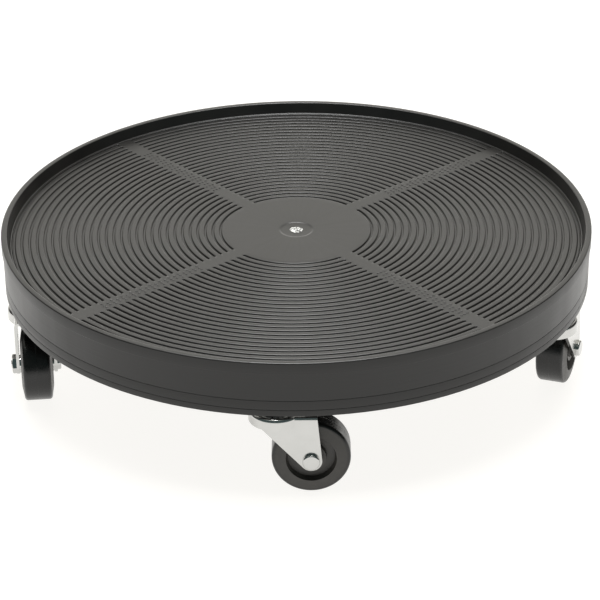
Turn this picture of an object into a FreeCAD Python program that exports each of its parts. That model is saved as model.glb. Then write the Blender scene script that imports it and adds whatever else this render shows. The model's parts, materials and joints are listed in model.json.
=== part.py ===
"""Plant pot caddy: a round moulded tray on five double-ball-race swivel casters.

Frame: +Z up, origin on the floor under the middle of the tray, the front caster towards -Y.
Every caster piece is drawn in its caster's own frame: the swivel axis is Z, the floor is z = 0, and the
wheel trails along +X. A placement then puts it at its station on the caster circle.
"""
import FreeCAD, Part
import math
import os
import re
import Sketcher
from FreeCAD import Placement, Rotation, Vector

# Driving dimensions, millimetres and degrees: alias, value, what it is.
DIMENSIONS = [
    ("tray_radius", 304.8, "outside of the tray's rim band"),
    ("lip_height", 11.8, "floor to the top of the lip"),
    ("lip_land", 6.0, "flat ring on top of the lip"),
    ("lip_draft", 3.3, "lean of the lip's inner wall"),
    ("lip_round", 1.4, "rounding of the lip's two edges"),
    ("floor_sheet", 4.0, "floor thickness"),
    ("skirt_sheet", 3.0, "skirt thickness"),
    ("skirt_drop", 46.5, "floor top to the skirt's lower edge"),
    ("skirt_draft", 0.5, "taper of the skirt below the rim band"),
    ("skirt_gap", 3.5, "skirt's lower edge to the fork's top"),
    ("band_height", 12.0, "height of the rim band"),
    ("band_step", 0.9, "step below the rim band"),
    ("line_first", 41.7, "top of the lip to the upper scored line"),
    ("line_pitch", 10.0, "distance between the two scored lines"),
    ("line_depth", 0.4, "depth and half width of a scored line"),
    ("groove_first", 78.7, "radius of the innermost floor groove"),
    ("groove_pitch", 7.9, "distance between floor grooves"),
    ("groove_width", 2.4, "width of a floor groove at the top"),
    ("groove_floor", 1.0, "width of a floor groove at the bottom"),
    ("groove_depth", 1.5, "depth of a floor groove"),
    ("spoke_width", 17.3, "width of the plain bands across the grooves"),
    ("spoke_angle", 45.0, "direction of the first plain band"),
    ("gate_well", 18.0, "radius of the shallow dish at the centre"),
    ("gate_depth", 0.8, "depth of the dish"),
    ("gate_stub", 6.5, "radius of the sprue stub in the dish"),
    ("gate_stub_height", 0.6, "height of the sprue stub"),
    ("rib_depth", 10.0, "depth of the ribs under the floor"),
    ("rib_sheet", 3.0, "thickness of the ribs and caster pad walls"),
    ("ring_rib_pitch", 50.0, "distance between ring ribs"),
    ("pad_margin", 3.0, "caster pad wall outside the plate's edge"),
    ("boss_radius", 5.0, "outside of a screw boss"),
    ("pilot_radius", 2.15, "pilot hole in a screw boss"),
    ("pilot_depth", 22.0, "depth of the pilot hole"),
    ("plate_width", 38.0, "caster plate, across the caster circle"),
    ("plate_length", 62.0, "caster plate, along the caster circle"),
    ("plate_corner", 6.0, "corner radius of the plate"),
    ("plate_sheet", 2.5, "plate thickness"),
    ("plate_gap", 1.9, "plate corner to the inside of the skirt"),
    ("race_drop", 3.4, "depth of the race pressed into the plate"),
    ("race_radius", 18.5, "outside of the race pressed into the plate"),
    ("race_gap", 2.6, "plate race to the fork's top"),
    ("screw_span_x", 26.0, "screw spacing across the plate"),
    ("screw_span_y", 50.0, "screw spacing along the plate"),
    ("screw_radius", 2.1, "screw shank"),
    ("screw_head", 4.6, "screw head radius"),
    ("screw_head_height", 2.8, "screw head height"),
    ("screw_length", 18.0, "screw length below the head"),
    ("screw_play", 0.5, "play of the shank in the plate's hole"),
    ("ball_upper", 2.2, "radius of an upper ball"),
    ("ball_lower", 1.8, "radius of a lower ball"),
    ("ring_upper", 14.5, "radius of the upper ring of balls"),
    ("ring_lower", 9.5, "radius of the lower ring of balls"),
    ("ball_play", 0.1, "play of a ball in its race"),
    ("kingpin_radius", 5.0, "kingpin shank"),
    ("kingpin_head", 8.0, "kingpin head radius"),
    ("kingpin_head_height", 2.4, "kingpin head height"),
    ("lower_race_radius", 13.5, "outside of the lower race"),
    ("lower_race_sheet", 2.5, "thickness of the lower race"),
    ("lower_race_gap", 2.2, "lower race to the underside of the crown"),
    ("pin_play", 0.05, "radial clearance of a pin, bush or bolt"),
    ("fork_sheet", 3.0, "fork thickness"),
    ("crown_radius", 27.0, "outside of the fork's round crown"),
    ("crown_depth", 12.0, "height of the crown's turned-down rim"),
    ("crown_round", 4.0, "rounding of the crown's top edge"),
    ("fork_round", 5.0, "outside bend between the web and a leg"),
    ("web_gap", 8.3, "wheel to the underside of the fork's web"),
    ("trail", 33.0, "swivel axis to the axle"),
    ("leg_tip", 10.5, "radius of the leg's round tip"),
    ("leg_front_slope", 47.8, "slope of the leg's front edge from level"),
    ("leg_rear_lean", 5.3, "lean of the leg's rear edge from upright"),
    ("side_gap", 1.7, "wheel hub to a leg"),
    ("axle_radius", 5.0, "axle bolt shank"),
    ("axle_head", 8.3, "axle bolt head radius"),
    ("axle_head_height", 3.8, "axle bolt head height"),
    ("axle_head_round", 1.6, "rounding of the axle bolt's head"),
    ("nut_across", 17.0, "axle nut across its flats"),
    ("nut_height", 4.5, "axle nut height"),
    ("bolt_end", 0.8, "axle bolt past its nut"),
    ("bush_sheet", 2.0, "wall of the axle bush"),
    ("washer_radius", 9.5, "outside of a spacer washer"),
    ("washer_sheet", 1.5, "thickness of a spacer washer"),
    ("wheel_radius", 38.1, "wheel"),
    ("wheel_width", 32.0, "wheel, across the hub and tread"),
    ("wheel_shoulder", 3.5, "rounding of the tread's shoulders"),
    ("side_taper", 1.8, "how much each side slopes in from the face recess out to the tread"),
    ("hub_radius", 10.2, "wheel hub face"),
    ("boss_face", 14.4, "radius of the boss round the hub, at its face"),
    ("boss_drop", 1.8, "boss face below the hub face"),
    ("recess_radius", 24.5, "outside of the recess in the wheel's side"),
    ("recess_depth", 6.5, "depth of the recess"),
    ("recess_bank", 1.7, "run of the recess's sloping outer wall"),
    ("boss_bank", 0.6, "run of the boss's sloping wall"),
]

# Heights from the floor and other sizes that follow from the driving dimensions.
DERIVED = {
    "web_bottom": "(2 * wheel_radius + web_gap)",
    "web_top": "(web_bottom + fork_sheet)",
    "race_bottom": "(web_top + race_gap)",
    "plate_bottom": "(race_bottom + race_drop)",
    "mount_level": "(plate_bottom + plate_sheet)",
    "upper_ball_level": "(web_top + race_gap / 2)",
    "lower_ball_level": "(web_bottom - lower_race_gap / 2)",
    "lower_race_top": "(web_bottom - lower_race_gap)",
    "lower_race_bottom": "(lower_race_top - lower_race_sheet)",
    "rim_bottom": "(web_top - crown_depth)",
    "skirt_bottom": "(web_top + skirt_gap)",
    "floor_top": "(skirt_bottom + skirt_drop)",
    "floor_bottom": "(floor_top - floor_sheet)",
    "lip_top": "(floor_top + lip_height)",
    "band_bottom": "(lip_top - band_height)",
    "rib_bottom": "(floor_bottom - rib_depth)",
    "wall_foot": "(tray_radius - lip_land - lip_draft)",
    "skirt_top_radius": "(tray_radius - band_step)",
    "skirt_foot_radius": "(skirt_top_radius - skirt_draft)",
    "skirt_inner": "(skirt_foot_radius - skirt_sheet)",
    "caster_circle": "(sqrt((skirt_inner - plate_gap)^2 - (plate_length / 2)^2) - plate_width / 2)",
    "leg_inner": "(wheel_width / 2 + side_gap)",
    "leg_outer": "(leg_inner + fork_sheet)",
    "crown_inner": "(crown_radius - fork_sheet)",
    "bush_radius": "(axle_radius + pin_play + bush_sheet)",
    "tip_front_x": "(trail - leg_tip * sin(leg_front_slope * 1deg))",
    "tip_front_z": "(wheel_radius - leg_tip * cos(leg_front_slope * 1deg))",
    "tip_rear_x": "(trail + leg_tip * cos(leg_rear_lean * 1deg))",
    "tip_rear_z": "(wheel_radius + leg_tip * sin(leg_rear_lean * 1deg))",
}

# Caster stations, going round from the front: name, side of the axle bolt's head (-1 is the near side of a
# wheel that trails to the right), and how far the wheel trails from square to the tray's radius, degrees.
STATIONS = [
    ("front", -1, 4.0),
    ("right", -1, 3.0),
    ("back_right", -1, 0.0),
    ("back_left", -1, 3.0),
    ("left", 1, -8.0),
]
RADIAL_RIBS = 10
BALL_FILL = 0.9

doc = FreeCAD.newDocument("plant_caddy")
sheet = doc.addObject("Spreadsheet::Sheet", "sizes")
for row, (alias, size, meaning) in enumerate(DIMENSIONS, start=1):
    sheet.set(f"A{row}", meaning)
    sheet.set(f"B{row}", str(size))
    sheet.setAlias(f"B{row}", alias)
doc.recompute()

ALIASES = {alias for alias, size, meaning in DIMENSIONS}
nodes = []


def bound(text):
    """An expression for FreeCAD: derived names written out, driving names read from the sheet."""
    def expand(match):
        word = match.group(0)
        if word in DERIVED:
            return bound(DERIVED[word])
        return "sizes." + word if word in ALIASES else word
    return re.sub(r"[a-z][a-z_]*", expand, str(text))


def number(text):
    """The present value of such an expression."""
    result = sheet.evalExpression(bound(text))
    return float(getattr(result, "Value", result))


def origin_plane(body, role):
    return next(feature for feature in body.Origin.OriginFeatures if feature.Role == role)


def new_body(label):
    body = doc.addObject("PartDesign::Body", label)
    body.Label = label
    nodes.append(body)
    return body


def new_sketch(body, name, plane="XY_Plane", level=None, turn=None):
    """A sketch on one of the body's own origin planes, lifted to a level and turned if asked."""
    sketch = body.newObject("Sketcher::SketchObject", name)
    sketch.AttachmentSupport = [(origin_plane(body, plane), "")]
    sketch.MapMode = "FlatFace"
    if level is not None:
        sketch.setExpression(".AttachmentOffset.Base.z", bound(level))
    if turn is not None:
        sketch.AttachmentOffset = Placement(Vector(), Rotation(Vector(0, 0, 1), 1))
        sketch.setExpression(".AttachmentOffset.Rotation.Angle", bound(turn))
    return sketch


def bind(sketch, kind, places, expression):
    """One dimension of the sketch, tied to the sheet."""
    index = sketch.addConstraint(Sketcher.Constraint(kind, *places, number(expression)))
    sketch.setExpression(f"Constraints[{index}]", bound(expression))


def fix_point(sketch, edge, end, across, along):
    """Put a point where its two expressions say: on an axis where one is zero."""
    if number(across) == 0:
        sketch.addConstraint(Sketcher.Constraint("PointOnObject", edge, end, -2))
    else:
        bind(sketch, "DistanceX", (edge, end), across)
    if number(along) == 0:
        sketch.addConstraint(Sketcher.Constraint("PointOnObject", edge, end, -1))
    else:
        bind(sketch, "DistanceY", (edge, end), along)


def arc_between(start, finish, radius, side):
    """The short arc from start to finish; side is 1 where it turns left and -1 where it turns right."""
    chord = finish - start
    middle = (start + finish) * 0.5
    rise = math.sqrt(max(radius ** 2 - (chord.Length / 2) ** 2, 0))
    across = Vector(-chord.y, chord.x, 0).normalize()
    centre = middle + across * rise * side
    circle = Part.Circle(centre, Vector(0, 0, 1), radius)
    angles = [math.atan2(point.y - centre.y, point.x - centre.x) for point in (start, finish)]
    if side < 0:
        angles.reverse()
    return Part.ArcOfCircle(circle, angles[0], angles[1])


def outline(sketch, corners):
    """A closed outline. A corner is (x, y), or (x, y, radius, side) where an arc leads to the next one."""
    points = [Vector(number(corner[0]), number(corner[1]), 0) for corner in corners]
    ends = []
    first = sketch.GeometryCount
    for index, corner in enumerate(corners):
        start = points[index]
        finish = points[(index + 1) % len(points)]
        if len(corner) == 2:
            sketch.addGeometry(Part.LineSegment(start, finish), False)
            ends.append((1, 2))
            continue
        sketch.addGeometry(arc_between(start, finish, number(corner[2]), corner[3]), False)
        ends.append((1, 2) if corner[3] > 0 else (2, 1))
    for index, corner in enumerate(corners):
        edge = first + index
        following = (index + 1) % len(corners)
        sketch.addConstraint(Sketcher.Constraint("Coincident", edge, ends[index][1],
                                                 first + following, ends[following][0]))
        fix_point(sketch, edge, ends[index][0], corner[0], corner[1])
        if len(corner) > 2:
            bind(sketch, "Radius", (edge,), corner[2])


def box_outline(sketch, low_x, high_x, low_y, high_y):
    outline(sketch, [(low_x, low_y), (high_x, low_y), (high_x, high_y), (low_x, high_y)])


def circle(sketch, across, along, radius):
    centre = Vector(number(across), number(along), 0)
    edge = sketch.addGeometry(Part.Circle(centre, Vector(0, 0, 1), number(radius)), False)
    fix_point(sketch, edge, 3, across, along)
    bind(sketch, "Radius", (edge,), radius)


def solid_volume(body):
    """The body's volume, which is nothing before its first feature."""
    return 0.0 if body.Shape.isNull() else body.Shape.Volume


def feature(body, kind, name, sketch, **settings):
    """A PartDesign feature from a sketch. A setting that is text is an expression.

    An addition has to gain volume and a cut has to lose some, or its direction is wrong.
    """
    doc.recompute()
    before = solid_volume(body)
    made = body.newObject("PartDesign::" + kind, name)
    made.Profile = sketch
    for setting, content in settings.items():
        if isinstance(content, str) and setting != "Type":
            made.setExpression(setting, bound(content))
        else:
            setattr(made, setting, content)
    body.Tip = made
    doc.recompute()
    gained = solid_volume(body) - before
    adds = kind in ("Pad", "Revolution")
    if made.State != ["Up-to-date"] or (gained > 0) != adds:
        raise RuntimeError(f"{body.Label}.{name}: {made.State}, volume changed by {gained:.2f}")
    return made


def turned(body, kind, name, sketch, axis="V_Axis"):
    """A Revolution or a Groove, a full turn about one of the sketch's axes."""
    return feature(body, kind, name, sketch, ReferenceAxis=(sketch, [axis]), Angle=360.0)


def polar(body, name, features, count):
    """Repeat features round Z, and make the pattern count."""
    pattern = body.newObject("PartDesign::PolarPattern", name)
    pattern.Originals = features
    pattern.Axis = (origin_plane(body, "Z_Axis"), [""])
    pattern.Angle = 360.0
    pattern.Occurrences = count
    body.Tip = pattern
    doc.recompute()
    return pattern


def station_angle(index):
    return -90.0 + 360.0 / len(STATIONS) * index


def stand(item, index, heading):
    """Put a caster piece at its station, with its own +X along the heading."""
    angle = station_angle(index)
    item.Placement = Placement(Vector(), Rotation(Vector(0, 0, 1), heading))
    item.setExpression(".Placement.Base.x", bound(f"caster_circle * cos({angle} * 1deg)"))
    item.setExpression(".Placement.Base.y", bound(f"caster_circle * sin({angle} * 1deg)"))


# ---- tray -------------------------------------------------------------------------------------------

def tray_section():
    """Half section of the tray, from the axis out over the floor and lip and down the skirt."""
    scored = []
    for line in ("line_first", "line_first + line_pitch"):
        level = f"lip_top - {line}"
        scored += [
            ("skirt_foot_radius", f"{level} + line_depth"),
            ("skirt_foot_radius - line_depth", level),
            ("skirt_foot_radius", f"{level} - line_depth"),
        ]
    return [
        ("0", "floor_bottom"),
        ("skirt_inner", "floor_bottom"),
        ("skirt_inner", "skirt_bottom"),
        ("skirt_foot_radius", "skirt_bottom"),
        *reversed(scored),
        ("skirt_top_radius", "band_bottom"),
        ("tray_radius", "band_bottom"),
        ("tray_radius", "lip_top - lip_round", "lip_round", 1),
        ("tray_radius - lip_round", "lip_top"),
        ("tray_radius - lip_land + lip_round", "lip_top", "lip_round", 1),
        ("tray_radius - lip_land", "lip_top - lip_round"),
        ("wall_foot", "floor_top"),
        ("gate_well", "floor_top"),
        ("gate_well - 2 * gate_depth", "floor_top - gate_depth"),
        ("gate_stub", "floor_top - gate_depth"),
        ("gate_stub", "floor_top - gate_depth + gate_stub_height"),
        ("0", "floor_top - gate_depth + gate_stub_height"),
    ]


def cut_floor_grooves(body):
    """As many ring grooves as the floor has room for, cut all the way round."""
    room = number("wall_foot - groove_first - groove_width")
    count = int(room / number("groove_pitch")) + 1
    sketch = new_sketch(body, "groove_section", "XZ_Plane")
    for index in range(count):
        middle = f"groove_first + groove_pitch * {index}"
        outline(sketch, [
            (f"{middle} - groove_width / 2", "floor_top"),
            (f"{middle} - groove_floor / 2", "floor_top - groove_depth"),
            (f"{middle} + groove_floor / 2", "floor_top - groove_depth"),
            (f"{middle} + groove_width / 2", "floor_top"),
        ])
    turned(body, "Groove", "floor_grooves", sketch)
    print("floor grooves:", count)


def fill_spokes(body):
    """Plain bands across the grooves: two bars, each from wall to wall."""
    sketch = new_sketch(body, "spoke_plan", "XY_Plane", "floor_top - floor_sheet / 2", "spoke_angle")
    reach = "(wall_foot - 1)"
    box_outline(sketch, f"-{reach}", reach, "-spoke_width / 2", "spoke_width / 2")
    bar = feature(body, "Pad", "spoke_bar", sketch, Length="floor_sheet / 2")
    polar(body, "spokes", [bar], 4)


def add_ribs(body):
    """Ring ribs and radial ribs under the floor."""
    rings = new_sketch(body, "ring_rib_plan", "XY_Plane", "rib_bottom")
    count = int(number("(caster_circle - plate_width / 2) / ring_rib_pitch"))
    for index in range(1, count + 1):
        circle(rings, "0", "0", f"ring_rib_pitch * {index} - rib_sheet / 2")
        circle(rings, "0", "0", f"ring_rib_pitch * {index} + rib_sheet / 2")
    feature(body, "Pad", "ring_ribs", rings, Length="rib_depth")
    radial = new_sketch(body, "radial_rib_plan", "XY_Plane", "rib_bottom")
    box_outline(radial, "ring_rib_pitch", "skirt_inner + skirt_sheet / 2", "-rib_sheet / 2", "rib_sheet / 2")
    rib = feature(body, "Pad", "radial_rib", radial, Length="rib_depth")
    polar(body, "radial_ribs", [rib], RADIAL_RIBS)


def add_caster_pads(body):
    """A walled pad with four screw bosses over each caster plate."""
    walls = new_sketch(body, "pad_plan", "XY_Plane", "mount_level")
    half = "(plate_length / 2 + pad_margin)"
    near = "(-caster_circle - plate_width / 2 - pad_margin)"
    far = "(-caster_circle + plate_width / 2 + pad_margin)"
    box_outline(walls, f"-{half}", half, near, far)
    rib_low = "(screw_span_y / 2 - rib_sheet / 2)"
    rib_high = "(screw_span_y / 2 + rib_sheet / 2)"
    wall_inside = f"({half} - rib_sheet)"
    for low, high in ((f"-{wall_inside}", f"-{rib_high}"), (f"-{rib_low}", rib_low), (rib_high, wall_inside)):
        box_outline(walls, low, high, f"({near} + rib_sheet)", f"({far} - rib_sheet)")
    frame = feature(body, "Pad", "pad_walls", walls, Length="floor_bottom - mount_level")
    places = [
        (f"{side} * screw_span_y / 2", f"-caster_circle + {out} * screw_span_x / 2")
        for side in (-1, 1) for out in (-1, 1)
    ]
    posts = new_sketch(body, "boss_plan", "XY_Plane", "mount_level")
    pilots = new_sketch(body, "pilot_plan", "XY_Plane", "mount_level")
    for across, along in places:
        circle(posts, across, along, "boss_radius")
        circle(pilots, across, along, "pilot_radius")
    bosses = feature(body, "Pad", "bosses", posts, Length="floor_bottom - mount_level")
    holes = feature(body, "Pocket", "pilot_holes", pilots, Length="pilot_depth", Reversed=True)
    polar(body, "caster_pads", [frame, bosses, holes], len(STATIONS))


def make_tray():
    body = new_body("tray")
    section = new_sketch(body, "tray_section", "XZ_Plane")
    outline(section, tray_section())
    turned(body, "Revolution", "shell", section)
    cut_floor_grooves(body)
    fill_spokes(body)
    add_ribs(body)
    add_caster_pads(body)


# ---- caster pieces fixed to the tray ----------------------------------------------------------------

def screw_places():
    return [
        (f"{out} * screw_span_x / 2", f"{side} * screw_span_y / 2")
        for out in (-1, 1) for side in (-1, 1)
    ]


def rounded_box(sketch, half_x, half_y, corner):
    """A rectangle about the origin with four round corners."""
    outline(sketch, [
        (f"{half_x} - {corner}", f"-{half_y}", corner, 1),
        (half_x, f"-{half_y} + {corner}"),
        (half_x, f"{half_y} - {corner}", corner, 1),
        (f"{half_x} - {corner}", half_y),
        (f"-{half_x} + {corner}", half_y, corner, 1),
        (f"-{half_x}", f"{half_y} - {corner}"),
        (f"-{half_x}", f"-{half_y} + {corner}", corner, 1),
        (f"-{half_x} + {corner}", f"-{half_y}"),
    ])


def make_plate(label):
    """Pressed plate: a flat flange with a round race pressed down in the middle."""
    body = new_body(label)
    flange = new_sketch(body, "flange_plan", "XY_Plane", "plate_bottom")
    rounded_box(flange, "(plate_width / 2)", "(plate_length / 2)", "plate_corner")
    feature(body, "Pad", "flange", flange, Length="plate_sheet")
    cup = new_sketch(body, "race_plan", "XY_Plane", "race_bottom")
    circle(cup, "0", "0", "race_radius")
    feature(body, "Pad", "race", cup, Length="race_drop")
    cuts = new_sketch(body, "race_section", "XZ_Plane")
    outline(cuts, [
        ("0", "race_bottom - 1"),
        ("kingpin_radius + pin_play", "race_bottom - 1"),
        ("kingpin_radius + pin_play", "race_bottom + plate_sheet"),
        ("race_radius - plate_sheet", "race_bottom + plate_sheet"),
        ("race_radius - plate_sheet", "mount_level + 1"),
        ("0", "mount_level + 1"),
    ])
    circle(cuts, "ring_upper", "upper_ball_level", "ball_upper + ball_play")
    turned(body, "Groove", "race_cuts", cuts)
    drill = new_sketch(body, "screw_plan", "XY_Plane", "mount_level")
    for across, along in screw_places():
        circle(drill, across, along, "screw_radius + screw_play")
    feature(body, "Pocket", "screw_holes", drill, Length="plate_sheet")
    return body


def make_kingpin(label):
    """A rivet with a head in the plate's race and a second one under the lower race."""
    body = new_body(label)
    section = new_sketch(body, "kingpin_section", "XZ_Plane")
    foot = "(lower_race_bottom - kingpin_head_height)"
    seat = "(race_bottom + plate_sheet)"
    top = f"({seat} + kingpin_head_height)"
    outline(section, [
        ("0", foot),
        ("kingpin_head - kingpin_head_height / 2", foot, "kingpin_head_height / 2", 1),
        ("kingpin_head", f"{foot} + kingpin_head_height / 2"),
        ("kingpin_head", "lower_race_bottom"),
        ("kingpin_radius", "lower_race_bottom"),
        ("kingpin_radius", seat),
        ("kingpin_head", seat),
        ("kingpin_head", f"{top} - kingpin_head_height / 2", "kingpin_head_height / 2", 1),
        ("kingpin_head - kingpin_head_height / 2", top),
        ("0", top),
    ])
    turned(body, "Revolution", "rivet", section)
    return body


def make_lower_race(label):
    """A pressed ring that holds the lower balls up against the crown."""
    body = new_body(label)
    section = new_sketch(body, "ring_section", "XZ_Plane")
    outline(section, [
        ("kingpin_radius + pin_play", "lower_race_bottom"),
        ("lower_race_radius", "lower_race_bottom"),
        ("lower_race_radius", "lower_race_top"),
        ("kingpin_radius + pin_play", "lower_race_top"),
    ])
    turned(body, "Revolution", "ring", section)
    cut = new_sketch(body, "ball_section", "XZ_Plane")
    circle(cut, "ring_lower", "lower_ball_level", "ball_lower + ball_play")
    turned(body, "Groove", "ball_groove", cut)
    return body


def make_balls(label, radius, ring, level):
    """A full ring of loose balls, as many as nearly fill it."""
    count = int(BALL_FILL * 2 * math.pi * number(ring) / (2 * number(radius)))
    balls = []
    for index in range(count):
        ball = doc.addObject("Part::Sphere", f"{label}_{index}")
        ball.setExpression("Radius", bound(radius))
        ball.setExpression(".Placement.Base.x", bound(f"{ring} * cos({360 / count * index} * 1deg)"))
        ball.setExpression(".Placement.Base.y", bound(f"{ring} * sin({360 / count * index} * 1deg)"))
        ball.setExpression(".Placement.Base.z", bound(level))
        balls.append(ball)
    return group(label, balls)


def group(label, pieces):
    """Several separate solids of one kind, kept as one node."""
    made = doc.addObject("Part::Compound", label)
    made.Label = label
    made.Links = pieces
    nodes.append(made)
    return made


def make_screw(name):
    """A pan head screw, head down, with its shank up in the pad's boss."""
    head = "(plate_bottom - screw_head_height)"
    body = doc.addObject("PartDesign::Body", name)
    section = new_sketch(body, "screw_section", "XZ_Plane")
    outline(section, [
        ("0", head),
        ("screw_head - screw_head_height / 2", head, "screw_head_height / 2", 1),
        ("screw_head", f"{head} + screw_head_height / 2"),
        ("screw_head", "plate_bottom"),
        ("screw_radius", "plate_bottom"),
        ("screw_radius", "plate_bottom + screw_length - screw_radius"),
        ("screw_radius / 4", "plate_bottom + screw_length"),
        ("0", "plate_bottom + screw_length"),
    ])
    turned(body, "Revolution", "screw", section)
    return body


def make_screws():
    """Four screws through each plate, all in one node."""
    screws = []
    for index in range(len(STATIONS)):
        angle = station_angle(index)
        for number_in_plate, (across, along) in enumerate(screw_places(), start=1):
            screw = make_screw(f"screw_{index}_{number_in_plate}")
            radius = f"(caster_circle + {across})"
            screw.setExpression(
                ".Placement.Base.x", bound(f"{radius} * cos({angle} * 1deg) - {along} * sin({angle} * 1deg)"))
            screw.setExpression(
                ".Placement.Base.y", bound(f"{radius} * sin({angle} * 1deg) + {along} * cos({angle} * 1deg)"))
            screws.append(screw)
    group("caster_screws", screws)


# ---- caster pieces that swivel ----------------------------------------------------------------------

def leg_outline(sketch):
    """Side view of the fork: a straight sloping front edge, a round tip, a nearly upright rear edge."""
    front_x = "(tip_front_x - (rim_bottom - tip_front_z) / tan(leg_front_slope * 1deg))"
    rear_x = "(tip_rear_x - (web_top - tip_rear_z) * tan(leg_rear_lean * 1deg))"
    outline(sketch, [
        (front_x, "web_top"),
        (front_x, "rim_bottom"),
        ("tip_front_x", "tip_front_z", "leg_tip", 1),
        ("tip_rear_x", "tip_rear_z"),
        (rear_x, "web_top"),
    ])


def bend_edges(shape):
    """The two long top edges, where the web bends down into the legs."""
    names = []
    for index, edge in enumerate(shape.Edges, start=1):
        box = edge.BoundBox
        lies_on_top = box.ZMin > shape.BoundBox.ZMax - 0.01
        on_a_side = box.YLength < 0.01
        if lies_on_top and on_a_side:
            names.append(f"Edge{index}")
    return names


def make_fork(label):
    """Pressed fork: a web with two legs, and a round crown with a turned-down rim at its front."""
    body = new_body(label)
    side = new_sketch(body, "leg_side", "XZ_Plane")
    leg_outline(side)
    cheeks = feature(body, "Pad", "cheeks", side, Length="2 * leg_outer", Midplane=True)
    bends = body.newObject("PartDesign::Fillet", "bends")
    bends.Base = (cheeks, bend_edges(cheeks.Shape))
    bends.setExpression("Radius", bound("fork_round"))
    body.Tip = bends
    crown = new_sketch(body, "crown_section", "XZ_Plane")
    outline(crown, [
        ("0", "rim_bottom"),
        ("crown_radius", "rim_bottom"),
        ("crown_radius", "web_top - crown_round", "crown_round", 1),
        ("crown_radius - crown_round", "web_top"),
        ("0", "web_top"),
    ])
    turned(body, "Revolution", "crown", crown)
    bay = new_sketch(body, "bay_plan", "XY_Plane", "web_bottom")
    shoulder = "sqrt(crown_inner^2 - leg_inner^2)"
    outline(bay, [
        ("trail + wheel_radius", "-leg_inner"),
        ("trail + wheel_radius", "leg_inner"),
        (f"-{shoulder}", "leg_inner", "crown_inner", 1),
        (f"-{shoulder}", "-leg_inner"),
    ])
    feature(body, "Pocket", "wheel_bay", bay, Length="web_bottom")
    races = new_sketch(body, "races_section", "XZ_Plane")
    circle(races, "ring_upper", "upper_ball_level", "ball_upper + ball_play")
    circle(races, "ring_lower", "lower_ball_level", "ball_lower + ball_play")
    box_outline(races, "0", "kingpin_radius + pin_play", "web_bottom - 1", "web_top + 1")
    turned(body, "Groove", "races", races)
    axle = new_sketch(body, "axle_side", "XZ_Plane")
    circle(axle, "trail", "wheel_radius", "axle_radius + pin_play")
    feature(body, "Pocket", "axle_holes", axle, Length="4 * leg_outer", Midplane=True)
    return body


def about_axle(body, name):
    """A sketch whose X is the distance from the axle and whose Y is the distance along it."""
    sketch = new_sketch(body, name, "XY_Plane", "wheel_radius")
    sketch.setExpression(".AttachmentOffset.Base.x", bound("trail"))
    return sketch


def make_axle_bolt(label):
    """A bolt with a low round head on the near side."""
    body = new_body(label)
    section = about_axle(body, "bolt_section")
    end = "(leg_outer + nut_height + bolt_end)"
    outline(section, [
        ("0", "-leg_outer - axle_head_height"),
        ("axle_head - axle_head_round", "-leg_outer - axle_head_height", "axle_head_round", 1),
        ("axle_head", "-leg_outer - axle_head_height + axle_head_round"),
        ("axle_head", "-leg_outer"),
        ("axle_radius", "-leg_outer"),
        ("axle_radius", f"{end} - axle_radius / 5"),
        ("axle_radius * 0.8", end),
        ("0", end),
    ])
    turned(body, "Revolution", "bolt", section)
    return body


def make_nut(label):
    """A hexagon nut with its outer corners turned off."""
    body = new_body(label)
    side = new_sketch(body, "nut_side", "XZ_Plane", "-leg_outer")
    corners = [
        (f"trail + nut_across / sqrt(3) * cos({60 * index} * 1deg)",
         f"wheel_radius + nut_across / sqrt(3) * sin({60 * index} * 1deg)")
        for index in range(6)
    ]
    outline(side, corners)
    feature(body, "Pad", "hexagon", side, Length="nut_height", Reversed=True)
    cut = about_axle(body, "nut_section")
    outline(cut, [
        ("nut_across / 2 * 0.97", "leg_outer + nut_height"),
        ("nut_across", "leg_outer + nut_height - nut_across / 2 * 0.58"),
        ("nut_across", "leg_outer + nut_height"),
    ])
    box_outline(cut, "0", "axle_radius + pin_play", "leg_outer - 1", "leg_outer + nut_height + 1")
    turned(body, "Groove", "nut_cuts", cut)
    return body


def make_tube(label, inner, outer, low, high):
    """A plain ring about the axle, from low to high along it."""
    body = doc.addObject("PartDesign::Body", label)
    section = about_axle(body, "tube_section")
    box_outline(section, inner, outer, low, high)
    turned(body, "Revolution", "tube", section)
    return body


def make_bush(label):
    """The steel tube that the legs clamp and the wheel turns on."""
    body = make_tube(label, "axle_radius + pin_play", "bush_radius", "-leg_inner", "leg_inner")
    body.Label = label
    nodes.append(body)
    return body


def make_spacers(label):
    """A washer against the inside of each leg."""
    washers = [
        make_tube(f"{label}_near", "bush_radius + pin_play", "washer_radius",
                  "-leg_inner", "-leg_inner + washer_sheet"),
        make_tube(f"{label}_far", "bush_radius + pin_play", "washer_radius",
                  "leg_inner - washer_sheet", "leg_inner"),
    ]
    return group(label, washers)


def wheel_face(sign):
    """One side of the wheel from its bore out to its tread: (radius, distance along the axle)."""
    face = "wheel_width / 2"
    steps = [
        ("bush_radius + pin_play", face),
        ("hub_radius", face),
        ("hub_radius + boss_bank", f"{face} - boss_drop"),
        ("boss_face", f"{face} - boss_drop"),
        ("boss_face + boss_bank", f"{face} - recess_depth"),
        ("recess_radius - recess_bank", f"{face} - recess_depth"),
        ("recess_radius", face),
    ]
    return [(radius, f"{sign} * ({along})") for radius, along in steps]


def make_wheel(label):
    """A moulded wheel: each side has a hub, a low boss and a recess, and slopes in towards the tread."""
    body = new_body(label)
    section = about_axle(body, "wheel_section")
    edge = "(wheel_width / 2 - side_taper)"
    flat = f"({edge} - wheel_shoulder)"
    outline(section, [
        *wheel_face(-1),
        ("wheel_radius - wheel_shoulder", f"-{edge}", "wheel_shoulder", 1),
        ("wheel_radius", f"-{flat}"),
        ("wheel_radius", flat, "wheel_shoulder", 1),
        ("wheel_radius - wheel_shoulder", edge),
        *reversed(wheel_face(1)),
    ])
    turned(body, "Revolution", "wheel", section)
    return body


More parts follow.
